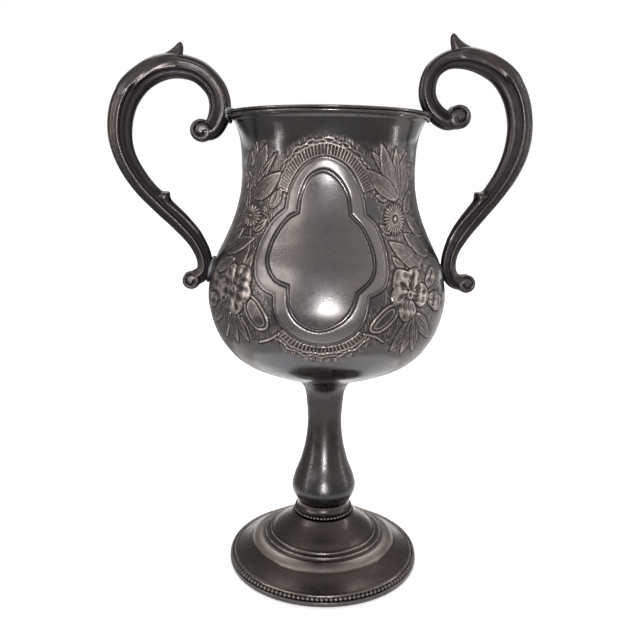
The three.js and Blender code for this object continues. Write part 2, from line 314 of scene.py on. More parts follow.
def silver(name, cool, warm, deep, rubbed, roughness, streak=(1, 1, 1), pitting=0.25, brushed=0.12):
    """Tarnished plate: patches of cool and warm grey, dark in hollows and rubbed bright on ridges, with
    wiping marks, pits and an uneven gloss. The wear attribute is above zero on ridges and below it in
    hollows. The matted attribute is 1 where the metal is chased and holds dull brown tarnish, and below
    zero where hands have rubbed the tarnish off."""
    chased = tuple(CHASED_TONE * part for part in warm)
    pale = tuple(PALE_WARM * a + PALE_COOL * b for a, b in zip(warm, cool))
    n = Nodes(bpy.data.materials.new(name))
    wear, matted = n.layer("wear"), n.layer("matted")
    patches = n.noise(34, 4)
    mottle = n.noise(230, 5, roughness=0.65)
    specks = n.noise(1300, 3)
    wiped = n.noise(420, 4, stretch=streak)

    tone = n.mix(n.span(patches, 0.38, 0.64), cool, warm)
    tone = n.mix(n.span(matted, 0, 1, 0, 0.9), tone, chased)
    tone = n.mix(n.span(matted, 0, -1), tone, pale)
    tone = n.mix(n.span(mottle, 0.56, 0.78, 0, 0.4), tone, deep)
    hollow = n.math("MULTIPLY", n.span(wear, -0.05, -0.65, 0, 0.95), n.span(matted, 0, 1, 1, CHASED_DEPTH))
    tone = n.mix(hollow, tone, deep)
    uneven = n.math("MULTIPLY", n.span(mottle, 0.3, 0.62, 0.3, 1), n.span(wear, 0.08, 0.9))
    tone = n.mix(uneven, tone, rubbed)

    gloss = n.math("ADD", n.span(mottle, 0.3, 0.75, roughness - 0.05, roughness + 0.09),
                   n.span(wiped, 0.3, 0.7, -0.03, 0.05))
    gloss = n.math("ADD", gloss, n.span(wear, -0.1, -0.8, 0, 0.2))
    gloss = n.math("ADD", gloss, n.span(n.math("ABSOLUTE", matted, 0), 0, 1, 0, DULLED))
    pits = n.bump(specks, pitting, 0.05 * MM, Normal=n.bump(wiped, brushed, 0.08 * MM))
    n.surface({"Base Color": tone, "Roughness": gloss, "Metallic": 1.0, "Normal": pits})
    return n.owner


def floor_material():
    """Plain white. It glows a little far from the cup, so that no horizon shows."""
    n = Nodes(bpy.data.materials.new("floor_pale"))
    tone = n.mix(n.span(n.noise(2.5, 2), 0.3, 0.7), (0.96, 0.96, 0.96), (0.98, 0.98, 0.98))
    reach = n.add("ShaderNodeVectorMath", {0: n.places["Object"]}, operation="LENGTH")
    glow = n.span(reach.outputs["Value"], 0.4, 1.6, 0.05, 0.45)
    n.surface({"Base Color": tone, "Roughness": 0.8, "Specular IOR Level": 0.1, "Emission Color": (1, 1, 1),
               "Emission Strength": glow})
    return n.owner


def solder_material():
    """Soft solder: dull and lumpy."""
    n = Nodes(bpy.data.materials.new("solder_grey"))
    lumps = n.noise(420, 4)
    tone = n.mix(n.span(lumps, 0.35, 0.65), (0.10, 0.105, 0.115), (0.24, 0.245, 0.26))
    tone = n.mix(n.span(n.layer("wear"), -0.05, -0.7), tone, (0.03, 0.028, 0.027))
    n.surface({"Base Color": tone, "Roughness": n.span(lumps, 0.3, 0.7, 0.38, 0.6), "Metallic": 0.9,
               "Normal": n.bump(n.noise(900, 4), 0.35, 0.15 * MM)})
    return n.owner


def brass_material():
    """Brass that has darkened in patches."""
    n = Nodes(bpy.data.materials.new("brass_aged"))
    patches = n.noise(160, 4)
    specks = n.noise(1200, 3)
    tone = n.mix(n.span(patches, 0.35, 0.65), (0.34, 0.22, 0.08), (0.13, 0.085, 0.045))
    n.surface({"Base Color": tone, "Roughness": n.span(specks, 0.3, 0.7, 0.3, 0.5), "Metallic": 1.0,
               "Normal": n.bump(specks, 0.3, 0.05 * MM)})
    return n.owner


# The material of each slot. A plate has cool, warm, deep and rubbed tones, a roughness, and its own marks.
MATERIALS = {"solder": solder_material(), "brass": brass_material()}
for name, *tones, roughness, marks in (
    ("bowl_plate", (0.108, 0.108, 0.115), (0.124, 0.112, 0.107), (0.028, 0.023, 0.022),
     (0.46, 0.405, 0.375), 0.17, {"streak": (1, 1, 8)}),
    ("rim_plate", (0.080, 0.078, 0.082), (0.094, 0.084, 0.080), (0.025, 0.021, 0.020),
     (0.15, 0.137, 0.132), 0.22, {}),
    ("handle_plate", (0.060, 0.056, 0.063), (0.080, 0.069, 0.064), (0.024, 0.021, 0.024),
     (0.105, 0.095, 0.092), 0.29, {"pitting": 0.08}),
    ("stem_plate", (0.066, 0.063, 0.066), (0.078, 0.069, 0.067), (0.028, 0.024, 0.023),
     (0.20, 0.18, 0.17), 0.25, {"streak": (4, 4, 0.4), "brushed": 0.3}),
    ("foot_plate", (0.072, 0.062, 0.060), (0.088, 0.072, 0.066), (0.028, 0.024, 0.023),
     (0.24, 0.215, 0.195), 0.26, {"streak": (0.3, 0.3, 2)}),
    ("bead_plate", (0.082, 0.072, 0.067), (0.102, 0.085, 0.077), (0.022, 0.018, 0.018),
     (0.28, 0.245, 0.225), 0.28, {}),
):
    MATERIALS[name] = silver(name, *tones, roughness, **marks)


# ---------------------------------------------------------------- chased ornament of the bowl

# Places on the bowl are (s, z): s is the angle from the middle of a cartouche times PATTERN_RADIUS,
# and z is the height. On the sheet they become true distances along the metal.
PATTERN_RADIUS = 54
PATTERN_AZIMUTH = -9.0  # of the middle of the front cartouche, in degrees from -Y towards +X

BOWL_OUTLINE = [
    (13.5, 95.1), (20.7, 98), (31.5, 102), (40.2, 106), (47.1, 112), (52.4, 120), (55.5, 129),
    (56.8, 137), (55.9, 145.5), (53, 155.5), (47.8, 166), (43.1, 177.5), (40.6, 189), (40.2, 200),
    (41.1, 210), (43.2, 216.6), (44.6, 218.7), (44.6, 221.3),
]
BOWL_WALL = 1.3
BOLT_HOLE_RADIUS = 2.6
ORNAMENT_LOW, ORNAMENT_HIGH = 115, 211
PLAIN_STEP, CHASED_STEP, NECK_STEP = 1.3, 0.3, 0.5      # between rows of the bowl's grid, from below

# The lobes of the plain panel and of the outer edge of its border, each lobe from notch to notch
PANEL_LOBES = [
    [(-12.5, 178.3), (-11.5, 186), (-7, 192.7), (0, 195), (7, 192), (12, 186), (13.3, 177.8)],
    [(13.3, 177.8), (19, 172.5), (22.5, 163), (21, 154), (14, 147.5)],
    [(14, 147.5), (11.5, 140.7), (7, 135.5), (-1, 132.5), (-8.5, 136), (-11.8, 142), (-12.5, 150)],
    [(-12.5, 150), (-19, 152.5), (-24.3, 159.5), (-23.8, 167.5), (-18.5, 175.3), (-12.5, 178.3)],
]
BORDER_LOBES = [
    [(-21, 180), (-20, 187), (-16, 193.5), (-10, 198.5), (0, 201.3), (8, 199.8), (14, 196.5),
     (18.5, 191.5), (21.5, 186), (22.7, 178)],
    [(22.7, 178), (27.5, 174), (30.3, 165), (28.8, 154), (26, 148.5), (19.5, 145.3)],
    [(19.5, 145.3), (18, 137), (13.5, 130), (6, 126), (0, 125.3), (-7, 126.5), (-13, 130.3),
     (-17.8, 137), (-19.2, 145.5)],
    [(-19.2, 145.5), (-25, 148), (-29.5, 152.5), (-32.3, 163), (-31, 170), (-27.5, 175.5), (-21, 180)],
]

bowl_line = spline(fitted(BOWL_OUTLINE, "bowl"), 24)
bowl_along = arc_length(bowl_line)


def radius_at(height):
    return np.interp(height, bowl_line[:, 1], bowl_line[:, 0])


def place(point):
    """A place (s, z) as a point of the sheet: distances round and up the metal."""
    s, z = point
    return np.array([s * radius_at(z) / PATTERN_RADIUS, np.interp(z, bowl_line[:, 1], bowl_along)])


def lobed(lobes):
    return np.vstack([np.array([place(p) for p in spline(lobe, 6)[:-1]]) for lobe in lobes])


class Sheet:
    """The height of the ornament over a grid of the bowl's surface, in millimetres."""

    def __init__(self, s, heights):
        self.x = s[None, :] * radius_at(heights)[:, None] / PATTERN_RADIUS
        self.y = np.repeat(np.interp(heights, bowl_line[:, 1], bowl_along)[:, None], len(s), 1)
        self.height = np.zeros_like(self.x)
        self.cover = np.zeros_like(self.x)
        # how deep the strokes still are: handling has worn some of them away
        across = np.sin(0.9 * self.x + 1.3 * np.sin(0.7 * self.y))
        upwards = np.sin(0.8 * self.y + 1.7 * np.cos(0.5 * self.x))
        self.depth = 0.75 + 0.35 * across * upwards

    def local(self, base, tip):
        """Coordinates along and across the line from base to tip, and its length."""
        start, end = place(base), place(tip)
        length = np.linalg.norm(end - start)
        along = (end - start) / length
        x, y = self.x - start[0], self.y - start[1]
        return (x * along[0] + y * along[1]) / length, y * along[0] - x * along[1], length

    def about(self, centre):
        """Coordinates counted from a place on the bowl."""
        middle = place(centre)
        return self.x - middle[0], self.y - middle[1]

    def distance(self, line, closed=False):
        """The distance to a line, less than zero inside a closed one."""
        ends = np.roll(line, -1, axis=0) if closed else line[1:]
        nearest = np.full(self.x.shape, 1e9)
        inside = np.zeros(self.x.shape, bool)
        for start, end in zip(line, ends):
            step = end - start
            x, y = self.x - start[0], self.y - start[1]
            share = np.clip((x * step[0] + y * step[1]) / max(step @ step, 1e-12), 0, 1)
            gap = (x - share * step[0]) ** 2 + (y - share * step[1]) ** 2
            nearest = np.minimum(nearest, gap)
            if closed and abs(step[1]) > 1e-12:
                crosses = (self.y >= min(start[1], end[1])) & (self.y < max(start[1], end[1]))
                inside ^= crosses & (x < y * step[0] / step[1])
        return np.where(inside, -1, 1) * np.sqrt(nearest)

    def lay(self, mask, height, edge=None):
        """Lays an element over what is there, with a chased line round it where edge is about 0."""
        self.height = self.height * (1 - mask) + height * mask
        if edge is not None:
            self.height -= 0.14 * bell(edge, 0.30) * (1 - mask)
        self.cover = np.maximum(self.cover, mask)

    def stem(self, points, width, lift):
        gap = self.distance(np.array([place(p) for p in spline(points, 6)]))
        self.height += lift * bell(gap, width) - 0.18 * bell(gap - 1.9 * width, 0.6 * width)
        self.cover = np.maximum(self.cover, bell(gap, 1.6 * width))

    def leaf(self, base, tip, width, lift, bend, veins):
        """A leaf: a low pillow between two arcs, with a sharp raised edge and long veins that meet at both
        ends, as a chaser draws them."""
        u, v, length = self.local(base, tip)
        inside = np.clip(u, 0, 1)
        v = v - 4 * bend * inside * (1 - inside)
        half = 0.5 * width * np.sin(math.pi * inside**0.8) ** 0.75 + 1e-6
        beyond = np.where(u < 0, -u, np.maximum(u - 1, 0)) * length
        edge = np.where((u > 0) & (u < 1), half - np.abs(v), -np.hypot(beyond, v))
        side = np.clip(v / half, -1, 1)
        body = lift * (0.15 + 0.45 * (1 - np.abs(side) ** 2.2) ** 0.6) - 0.10 * bell(v, 0.5) * (1 - inside)
        strokes = bell(np.sin(math.pi * (veins * side + 0.25 * np.sin(7 * inside + width))), 0.55)
        strokes *= smoothstep(0.0, 0.12, inside) * smoothstep(1.0, 0.75, inside) * smoothstep(0.2, 0.7, half)
        body += self.depth * (0.18 * bell(edge - 0.35, 0.24) + 0.24 * strokes - 0.07)
        self.lay(smoothstep(-0.05, 0.4, edge), body, edge + 0.2)

    def petal(self, base, tip, width, lift):
        """A full petal that stands highest near its tip, with a ruffled edge and cut creases at its root."""
        u, v, length = self.local(base, tip)
        lean = np.arctan2(v / (0.5 * width), (u - 0.56) / 0.46)
        egg = np.hypot((u - 0.56) / 0.46, v / (0.5 * width) * (1.15 - 0.3 * np.clip(u, 0, 1)))
        egg = egg * (1 + 0.06 * np.cos(4 * lean + width))
        edge = (1 - egg) * 0.5 * min(width, length)
        out = np.clip(u, 0, 1)
        fan = v / (0.5 * width) / np.clip(0.35 + out, 0.3, 1.2)
        crease = bell(np.sin(math.pi * (1.5 * fan + 0.2 * np.sin(6 * out))), 0.4) * smoothstep(0.85, 0.3, out)
        dome = np.clip(1 - egg**2, 0, 1) ** 0.5
        dents = np.sin(0.8 * self.x + 0.5 * self.y) * np.sin(0.9 * self.y - 0.5 * self.x)
        body = lift * (0.10 + 0.95 * dome * (0.30 + 0.70 * smoothstep(0.15, 0.75, out)) + 0.24 * dents)
        body += self.depth * (0.15 * bell(edge - 0.35, 0.26) - 0.26 * crease)
        body -= 0.30 * lift * bell(fan - 0.25, 0.22) * smoothstep(0.15, 0.4, out) * smoothstep(1.0, 0.7, out)
        self.lay(smoothstep(-0.05, 0.4, edge), body, edge + 0.2)

    def daisy(self, centre, radii, petals, lift):
        """Narrow petals round a small domed eye."""
        x, y = self.about(centre)
        out = np.hypot(x / radii[0], y / radii[1])
        angle = np.arctan2(y / radii[1], x / radii[0])
        tips = 0.90 + 0.10 * np.cos(petals * angle)
        edge = (tips - out) * min(radii)
        body = lift * (0.35 + 0.65 * np.abs(np.cos(0.5 * petals * angle)) ** 0.8) * smoothstep(0, 0.35, out)
        body *= 1 - 0.35 * smoothstep(0.6, 1, out)
        body = np.where(out < 0.24, lift * 0.9 * np.sqrt(np.clip(1 - (out / 0.24) ** 2, 0, 1)), body)
        self.lay(smoothstep(-0.1, 0.4, edge), body, edge + 0.2)

    def flower(self, centre, tips, width, lift):
        """An open flower: cupped petals that overlap round a beaded eye."""
        for tip in tips:
            self.petal(centre, tip, width, lift)
        x, y = self.about(centre)
        out = np.hypot(x, y)
        eye = lift * (0.55 + 0.16 * np.cos(9 * np.arctan2(y, x)) * bell(out - 1.3, 0.5))
        self.lay(smoothstep(2.1, 1.7, out), eye - 0.5 * bell(out, 0.6), 1.95 - out)

    def pod(self, outline, lift):
        """A rounded band that frames a hollow with a low rib in it."""
        gap = self.distance(np.array([place(p) for p in spline(outline, 6, closed=True)]), closed=True)
        frame_band = lift * (1 - np.clip(np.abs(gap + 0.6) / 0.6, 0, 1) ** 2)
        hollow = 0.5 * lift * smoothstep(-1.3, -2.2, gap) + 0.10 * bell(gap + 2.3, 0.25)
        self.lay(smoothstep(0.1, -0.3, gap), frame_band + hollow, gap - 0.2)

    def fan(self, lobe, gap, centre, half_angle, pitch, low, high, upwards):
        """Short flutes that stand round the outside of one lobe of the border, and the lace past them."""
        middle = place(centre)
        y = (self.y - middle[1]) * (1 if upwards else -1)
        angle = np.arctan2(self.x - middle[0], y)
        out = np.hypot(self.x - middle[0], y)
        within = smoothstep(half_angle, half_angle - 0.05, np.abs(angle))
        around = angle * np.median(out[(np.abs(gap - high) < 0.6) & (within > 0.5)])
        slot = smoothstep(0.30, 0.62, np.abs(np.sin(math.pi * around / pitch)))
        length = smoothstep(low, low + 0.4, gap) * smoothstep(high + 0.2, high - 0.4, gap)
        raised = smoothstep(low - 0.4, low, gap) * smoothstep(high + 1, high + 0.4, gap)
        self.height += 0.30 * within * raised
        self.height -= within * length * slot * (0.12 + 0.40 * bell(angle, 0.42))
        self.cover = np.maximum(self.cover, within * smoothstep(low - 0.8, low, gap) * (gap < high + 0.6))

        edge = np.array([place(p) for p in spline(lobe, 12)])
        heading = np.arctan2(edge[:, 0] - middle[0], (edge[:, 1] - middle[1]) * (1 if upwards else -1))
        edge = edge[np.abs(heading) < half_angle]
        edge = resample(edge, np.arange(0, arc_length(edge)[-1], 0.3))
        step = np.gradient(edge, axis=0)
        outward = np.stack([-step[:, 1], step[:, 0]], 1) / np.linalg.norm(step, axis=1)[:, None]
        outward *= np.sign(((edge - middle) * outward).sum())
        swing = arc_length(edge) / (3.3 * pitch)
        for reach, depth, shift in ((0.55, 1.3, 0.0), (1.0, 1.5, 0.5)):
            wave = high + reach + depth * np.abs(np.sin(math.pi * (swing + shift)))
            line = edge + outward * wave[:, None]
            near = self.distance(line)
            self.height += self.depth * (0.24 * bell(near, 0.26) - 0.08 * bell(near - 0.7, 0.3))
            self.cover = np.maximum(self.cover, 0.8 * bell(near, 0.7))


# What a spray is made of. Leaves are (base, tip, width, lift, bend, veins), stems (points, width, lift),
# daisies (centre, radii, petals, lift), petals (base, tip, width, lift), pods (outline, lift) and flowers
# (centre, tips of the petals, their width, lift). Later ones lie over earlier ones.
LEFT_SPRAY = [
    (Sheet.leaf, [
        ((-48, 190), (-44, 208), 4.5, 0.15, 0, 2), ((-50, 180), (-58, 196), 6, 0.15, 0.5, 2),
        ((-52, 172), (-62, 180), 5, 0.15, 0, 2), ((-46, 160), (-58, 166), 5, 0.18, -0.5, 2),
        ((-38, 170), (-31, 176), 3.4, 0.18, 0, 1), ((-41, 150), (-52, 160), 5.5, 0.20, 0, 2),
        ((-36, 153), (-34, 161), 4, 0.20, 0, 2),
    ]),
    (Sheet.stem, [
        ([(-42, 171), (-38, 163), (-38, 157)], 0.35, 0.2), ([(-36, 178), (-31, 176), (-29, 172)], 0.3, 0.2),
        ([(-17, 129.5), (-22, 126.2), (-27, 124.5)], 0.4, 0.3),
        ([(-35, 134), (-32.5, 130), (-31.5, 125.5)], 0.35, 0.3),
    ]),
    (Sheet.leaf, [
        ((-43, 141), (-33, 123.5), 5, 0.28, 0, 2), ((-43, 141), (-41, 122), 5.5, 0.28, 0, 2),
        ((-43, 141), (-50, 123), 6, 0.28, 0, 2), ((-43, 141), (-61, 128), 6.5, 0.28, 0, 2),
        ((-47, 186), (-35.5, 206.5), 8.6, 0.30, 0.6, 5), ((-54, 186), (-50, 204), 7, 0.25, 0, 4),
        ((-45, 188), (-28.5, 203), 3.6, 0.30, 0, 1), ((-46, 184), (-25.5, 195), 8.2, 0.42, -0.5, 4),
        ((-31, 180), (-24.5, 188.5), 5, 0.35, 0, 1), ((-57, 170), (-53, 188), 6, 0.25, 0, 2),
        ((-55, 160), (-36, 167.5), 6.5, 0.35, 0.5, 4), ((-59, 163), (-48, 171), 6, 0.30, 0, 2),
        ((-60, 152), (-45, 158.5), 6, 0.30, 0, 3),
    ]),
    (Sheet.daisy, [((-45.5, 176.5), (7.6, 5.2), 18, 0.55)]),
    (Sheet.petal, [((-51, 146), (-62, 148), 8, 0.6), ((-52, 140), (-62, 138), 7, 0.5)]),
    (Sheet.pod, [
        ([(-31, 144.5), (-26.5, 142.8), (-21.3, 134.8), (-22.5, 130.8), (-27.5, 130), (-33.5, 139)], 0.36),
    ]),
    (Sheet.flower, [
        ((-40.5, 146), [(-52.5, 144), (-45, 155.5), (-33.5, 155), (-30.5, 145.5), (-38.5, 135.5)], 10, 0.75),
    ]),
]
RIGHT_SPRAY = [
    (Sheet.leaf, [
        ((50, 190), (63, 200), 6, 0.15, -0.5, 2), ((42, 190), (27, 204), 4, 0.15, -0.5, 1),
        ((38, 184), (30, 186), 3.5, 0.2, 0, 1), ((36, 170), (30, 174), 3, 0.2, 0, 1),
        ((52, 172), (62, 176), 5, 0.2, 0, 2), ((46, 156), (58, 163), 6, 0.2, 0.5, 3),
        ((38, 156), (33, 161), 3.6, 0.2, 0, 1),
    ]),
    (Sheet.stem, [
        ([(45, 170), (47, 163), (44, 157)], 0.35, 0.2), ([(18, 130), (23, 128.5), (27, 126)], 0.35, 0.25),
    ]),
    (Sheet.leaf, [
        ((42, 137), (31.5, 121), 5.5, 0.28, 0, 2), ((42, 137), (39, 118.5), 5.5, 0.28, 0, 2),
        ((42, 137), (47, 118.5), 6, 0.28, 0, 2), ((42, 137), (58, 123), 6.5, 0.28, 0, 2),
        ((49, 184), (56, 204.5), 11, 0.32, 0, 6), ((46, 184), (44.5, 206), 5.5, 0.35, 0, 2),
        ((46, 184), (33, 207.5), 7.5, 0.40, 0.6, 5), ((46, 184), (24.5, 196.5), 7.4, 0.42, 0.6, 4),
        ((51, 178), (60, 188), 6, 0.28, 0, 3), ((60, 160), (45, 170), 7.5, 0.32, 0, 4),
        ((62, 168), (51, 178), 6.5, 0.28, 0, 2), ((49, 155), (33.5, 167), 8.2, 0.48, -0.4, 5),
    ]),
    (Sheet.daisy, [((41, 176), (6.6, 7.2), 24, 0.55)]),
    (Sheet.petal, [((49, 147), (60, 153.5), 7, 0.7), ((49, 143), (62, 139), 8, 0.7)]),
    (Sheet.pod, [([(31, 142), (26.5, 141), (20, 134), (20.3, 131), (25, 130.3), (32.5, 137.5)], 0.36)]),
    (Sheet.flower, [
        ((39, 145), [(45.5, 155.5), (33.5, 155), (29.5, 145), (36.5, 134.5), (50.5, 144)], 9.6, 0.75),
    ]),
]


BAND_START = 1.7        # from the panel's edge: the border between there and its own edge is swollen
HAIR_PITCH = 1.25       # of the fine upright strokes in the ground


def chase(sheet):
    """The ornament of one cartouche with its sprays of leaves and flowers at both sides. Returns the
    distance to the edge of the plain panel, where the border and the panel are, and where the ground is
    matted."""
    panel = sheet.distance(lobed(PANEL_LOBES), closed=True)
    border = sheet.distance(lobed(BORDER_LOBES), closed=True)
    sheet.fan(BORDER_LOBES[0], border, (0, 181), 1.25, 1.45, 1.0, 5.2, True)
    sheet.fan(BORDER_LOBES[2], border, (0.5, 142), 1.0, 1.75, 0.9, 3.8, False)
    for lay, rows in LEFT_SPRAY + RIGHT_SPRAY:
        for row in rows:
            lay(sheet, *row)

    # the matted ground round the ornament, with grains and fine upright strokes in it
    ground = smoothstep(0.04, 0.22, blur(sheet.cover, 8)) * (1 - sheet.cover)
    grain = np.random.default_rng(11).normal(size=sheet.height.shape)
    strokes = blur(grain, 2)
    strokes = 0.5 * (np.roll(strokes, 2, 0) + np.roll(strokes, -2, 0)) / strokes.std()
    hair = np.sin(2 * math.pi * (sheet.x + 1.2 * np.sin(0.28 * sheet.y)) / HAIR_PITCH) * sheet.depth
    sheet.height += ground * (0.04 * grain + 0.05 * strokes + 0.05 * hair - 0.06)
    sheet.height += (0.016 * grain + 0.014 * strokes) * sheet.cover

    # the border with a groove at each side, and the plain panel, over all of it
    band = np.clip((panel - BAND_START) / np.maximum(panel - BAND_START - border, 0.1), 0, 1)
    swell = 0.20 * (4 * band * (1 - band)) ** 0.7
    groove = -0.26 * bell(panel - 0.35, 0.36) - 0.22 * bell(panel - 1.5, 0.42)
    rim_line = 0.15 * bell(border, 0.30) - 0.13 * bell(border - 0.75, 0.28) - 0.10 * bell(border + 0.8, 0.3)
    inside = smoothstep(0.3, -0.1, border)
    sheet.height = sheet.height * (1 - inside) + inside * np.where(panel > 0, swell, 0)
    sheet.height += groove + rim_line
    matted = np.maximum(ground, smoothstep(0, 0.5, sheet.cover)) * (1 - inside)
    matted -= smoothstep(BAND_START, 2.3, panel) * smoothstep(-0.2, -0.6, border)
    matted -= 0.60 * smoothstep(0.2, -0.4, panel)
    return panel, inside, matted


def column_places():
    """The s of each column of half the bowl, closest together over the cartouche."""
    edges = [(-math.pi / 2 * PATTERN_RADIUS, -62, 0.95), (-62, -25, 0.36), (-25, 25, 0.25), (25, 62, 0.36),
             (62, math.pi / 2 * PATTERN_RADIUS, 0.95)]
    return np.concatenate([np.linspace(a, b, round((b - a) / step), endpoint=False) for a, b, step in edges])


def bowl_mesh():
    """The bowl with its ornament: the chased half and the same half again, turned round to the back."""
    top = bowl_along[-1]
    low, high = (np.interp(z, bowl_line[:, 1], bowl_along) for z in (ORNAMENT_LOW, ORNAMENT_HIGH))
    stops = np.concatenate([np.arange(0, low, PLAIN_STEP), np.arange(low, high, CHASED_STEP),
                            np.arange(high, top, NECK_STEP), [top]])
    outer = resample(bowl_line, stops)
    s = column_places()
    sheet = Sheet(s, outer[:, 1])
    panel, bordered, matted = (np.hstack([half, half]) for half in chase(sheet))
    fade = smoothstep(low, low + 2, stops) * smoothstep(high + 1, high - 3, stops)
    relief = np.hstack([sheet.height, sheet.height]) * fade[:, None]

    # slow hand-made unevenness, and the ledge line under the flared neck band
    azimuth = np.concatenate([s, s + math.pi * PATTERN_RADIUS]) / PATTERN_RADIUS
    uneven = 0.05 * np.outer(np.sin(stops / 3.1), np.cos(3 * azimuth))
    uneven += 0.04 * np.outer(np.sin(stops / 1.3), np.cos(7 * azimuth + 1))
    uneven *= 1 - 0.7 * smoothstep(1, -1, panel)
    ledge = 0.07 * bell(outer[:, 1] - 216.4, 0.35) - 0.05 * bell(outer[:, 1] - 217.2, 0.4)

    # hollows keep their tarnish; ridges are rubbed, most where they stand high, and little on the border
    wear = np.clip((relief - blur(relief, 2)) / 0.13, -1, 1)
    wear = np.where(wear > 0, np.clip(1.35 * wear - 0.09, 0, 1), wear)
    wear += 0.45 * smoothstep(0.30, 0.75, relief) * matted
    wear = np.where(wear > 0, wear * (1 - 0.75 * bordered), wear)
    wear = np.where(panel < 0, np.minimum(wear, 0), wear) + 2 * ledge[:, None]

    # the inside follows the outside a wall's thickness in, with fewer rows and softer relief
    tangent = np.gradient(outer, axis=0)
    normal = np.stack([tangent[:, 1], -tangent[:, 0]], 1) / np.linalg.norm(tangent, axis=1)[:, None]
    inner_stops = np.concatenate([[0.0, 1.2, 2.4], np.arange(4, top - 3, 1.5), [top]])
    inner_rows = np.array([np.abs(stops - stop).argmin() for stop in inner_stops])
    inner = outer[inner_rows] - BOWL_WALL * normal[inner_rows]
    inner[0] = (13.0, outer[0, 1] + BOWL_WALL)
    inner[-1] = (outer[-1, 0] - BOWL_WALL, outer[-1, 1])

    angle = np.radians(PATTERN_AZIMUTH) + azimuth
    moved = outer[:, None, :] + normal[:, None, :] * (relief + uneven + ledge[:, None])[..., None]
    inside = inner[:, None, :] + normal[inner_rows][:, None, :] * 0.7 * relief[inner_rows][..., None]
    hole_low, hole_top = (np.full((1, len(angle), 2), (BOLT_HOLE_RADIUS, outer[0, 1] + up))
                          for up in (0, BOWL_WALL))
    section = np.concatenate([hole_low, moved, inside[::-1], hole_top])
    inner_wear = -0.35 * np.clip(relief[inner_rows][::-1], 0, 1)
    edge = np.zeros((1, len(angle)))
    wear = np.concatenate([edge, wear, inner_wear, edge])
    matted = np.concatenate([edge, matted * fade[:, None], np.full_like(inner_wear, -0.7), edge])
    radius, rise = section[..., 0], section[..., 1]
    points = np.stack([radius * np.sin(angle), -radius * np.cos(angle), rise], -1)
    return grid_mesh("bowl_shell", points, wear, matted, sharp_degrees=60)


# ---------------------------------------------------------------- rim, stem and foot

def rim_mesh():
    """Two reeds round the lip, of which the upper one stands further out."""
    low, high, radius = extent("rim_wire")
    inside = radius - 1.6
    upper = arc((radius - 0.55, high - 0.6), (0.55, 0.6), -1.3, 1.57, 9)
    lower = arc((radius - 0.85, low + 0.75), (0.55, 0.72), -1.5, 1.2, 9)
    outline = np.array([(inside, low), *lower, *upper, (inside + 0.1, high - 0.02), (inside, high - 0.3)])
    return turned("rim_reeds", outline, 256, outline_wear(outline, 1.0), sharp_degrees=50)


STEM_OUTLINE = [
    (12.6, 31.3), (14.6, 34), (16.2, 38.6), (15.1, 44), (12.1, 52), (9.6, 62), (8.5, 73), (8.9, 82),
    (10.1, 90), (12.9, 94.8),
]
STEM_WALL = 1.2


def stem_mesh():
    outer = spline(fitted(STEM_OUTLINE, "stem"), 8)
    inner = np.array([(r - STEM_WALL, z) for r, z in outer[4:-3:3]])
    low, high = outer[0, 1], outer[-1, 1]
    floor_ring = [(BOLT_HOLE_RADIUS, low + STEM_WALL), (BOLT_HOLE_RADIUS, low)]
    roof_ring = [(BOLT_HOLE_RADIUS, high), (BOLT_HOLE_RADIUS, high - STEM_WALL), (10.0, high - STEM_WALL)]
    return turned("stem_baluster", [*outer, *roof_ring, *inner[::-1], *floor_ring], 160)


def collar_mesh():
    """A tapered ring that stands on the beaded wire, with a spigot down through it."""
    low, high, radius = extent("collar")
    _, beads_top, beads_radius = extent("collar_bead_wire")
    spigot, step = beads_radius - 2.1, beads_top + 0.3
    curve = spline([(radius, step + 0.3), (radius - 0.9, step + 0.9), (radius - 1.5, step + 2),
                    (12.7, high)], 5)
    outline = [(BOLT_HOLE_RADIUS, low), (spigot, low), (spigot, step), (radius - 0.2, step), *curve,
               (BOLT_HOLE_RADIUS, high)]
    return turned("collar_ring", outline, 160)


FOOT_OUTLINE = [
    (45.7, 2.3), (45.7, 4.1), (44.4, 4.7), (40.5, 6.9), (36.3, 9.9), (34, 11.5), (31.7, 12.6), (30.2, 13.1),
    (29.4, 14), (27.5, 14.5), (26.5, 15.2), (24, 17.1), (20.5, 19.8), (17.5, 22.4), (15.4, 25),
]
FOOT_WALL = 1.2


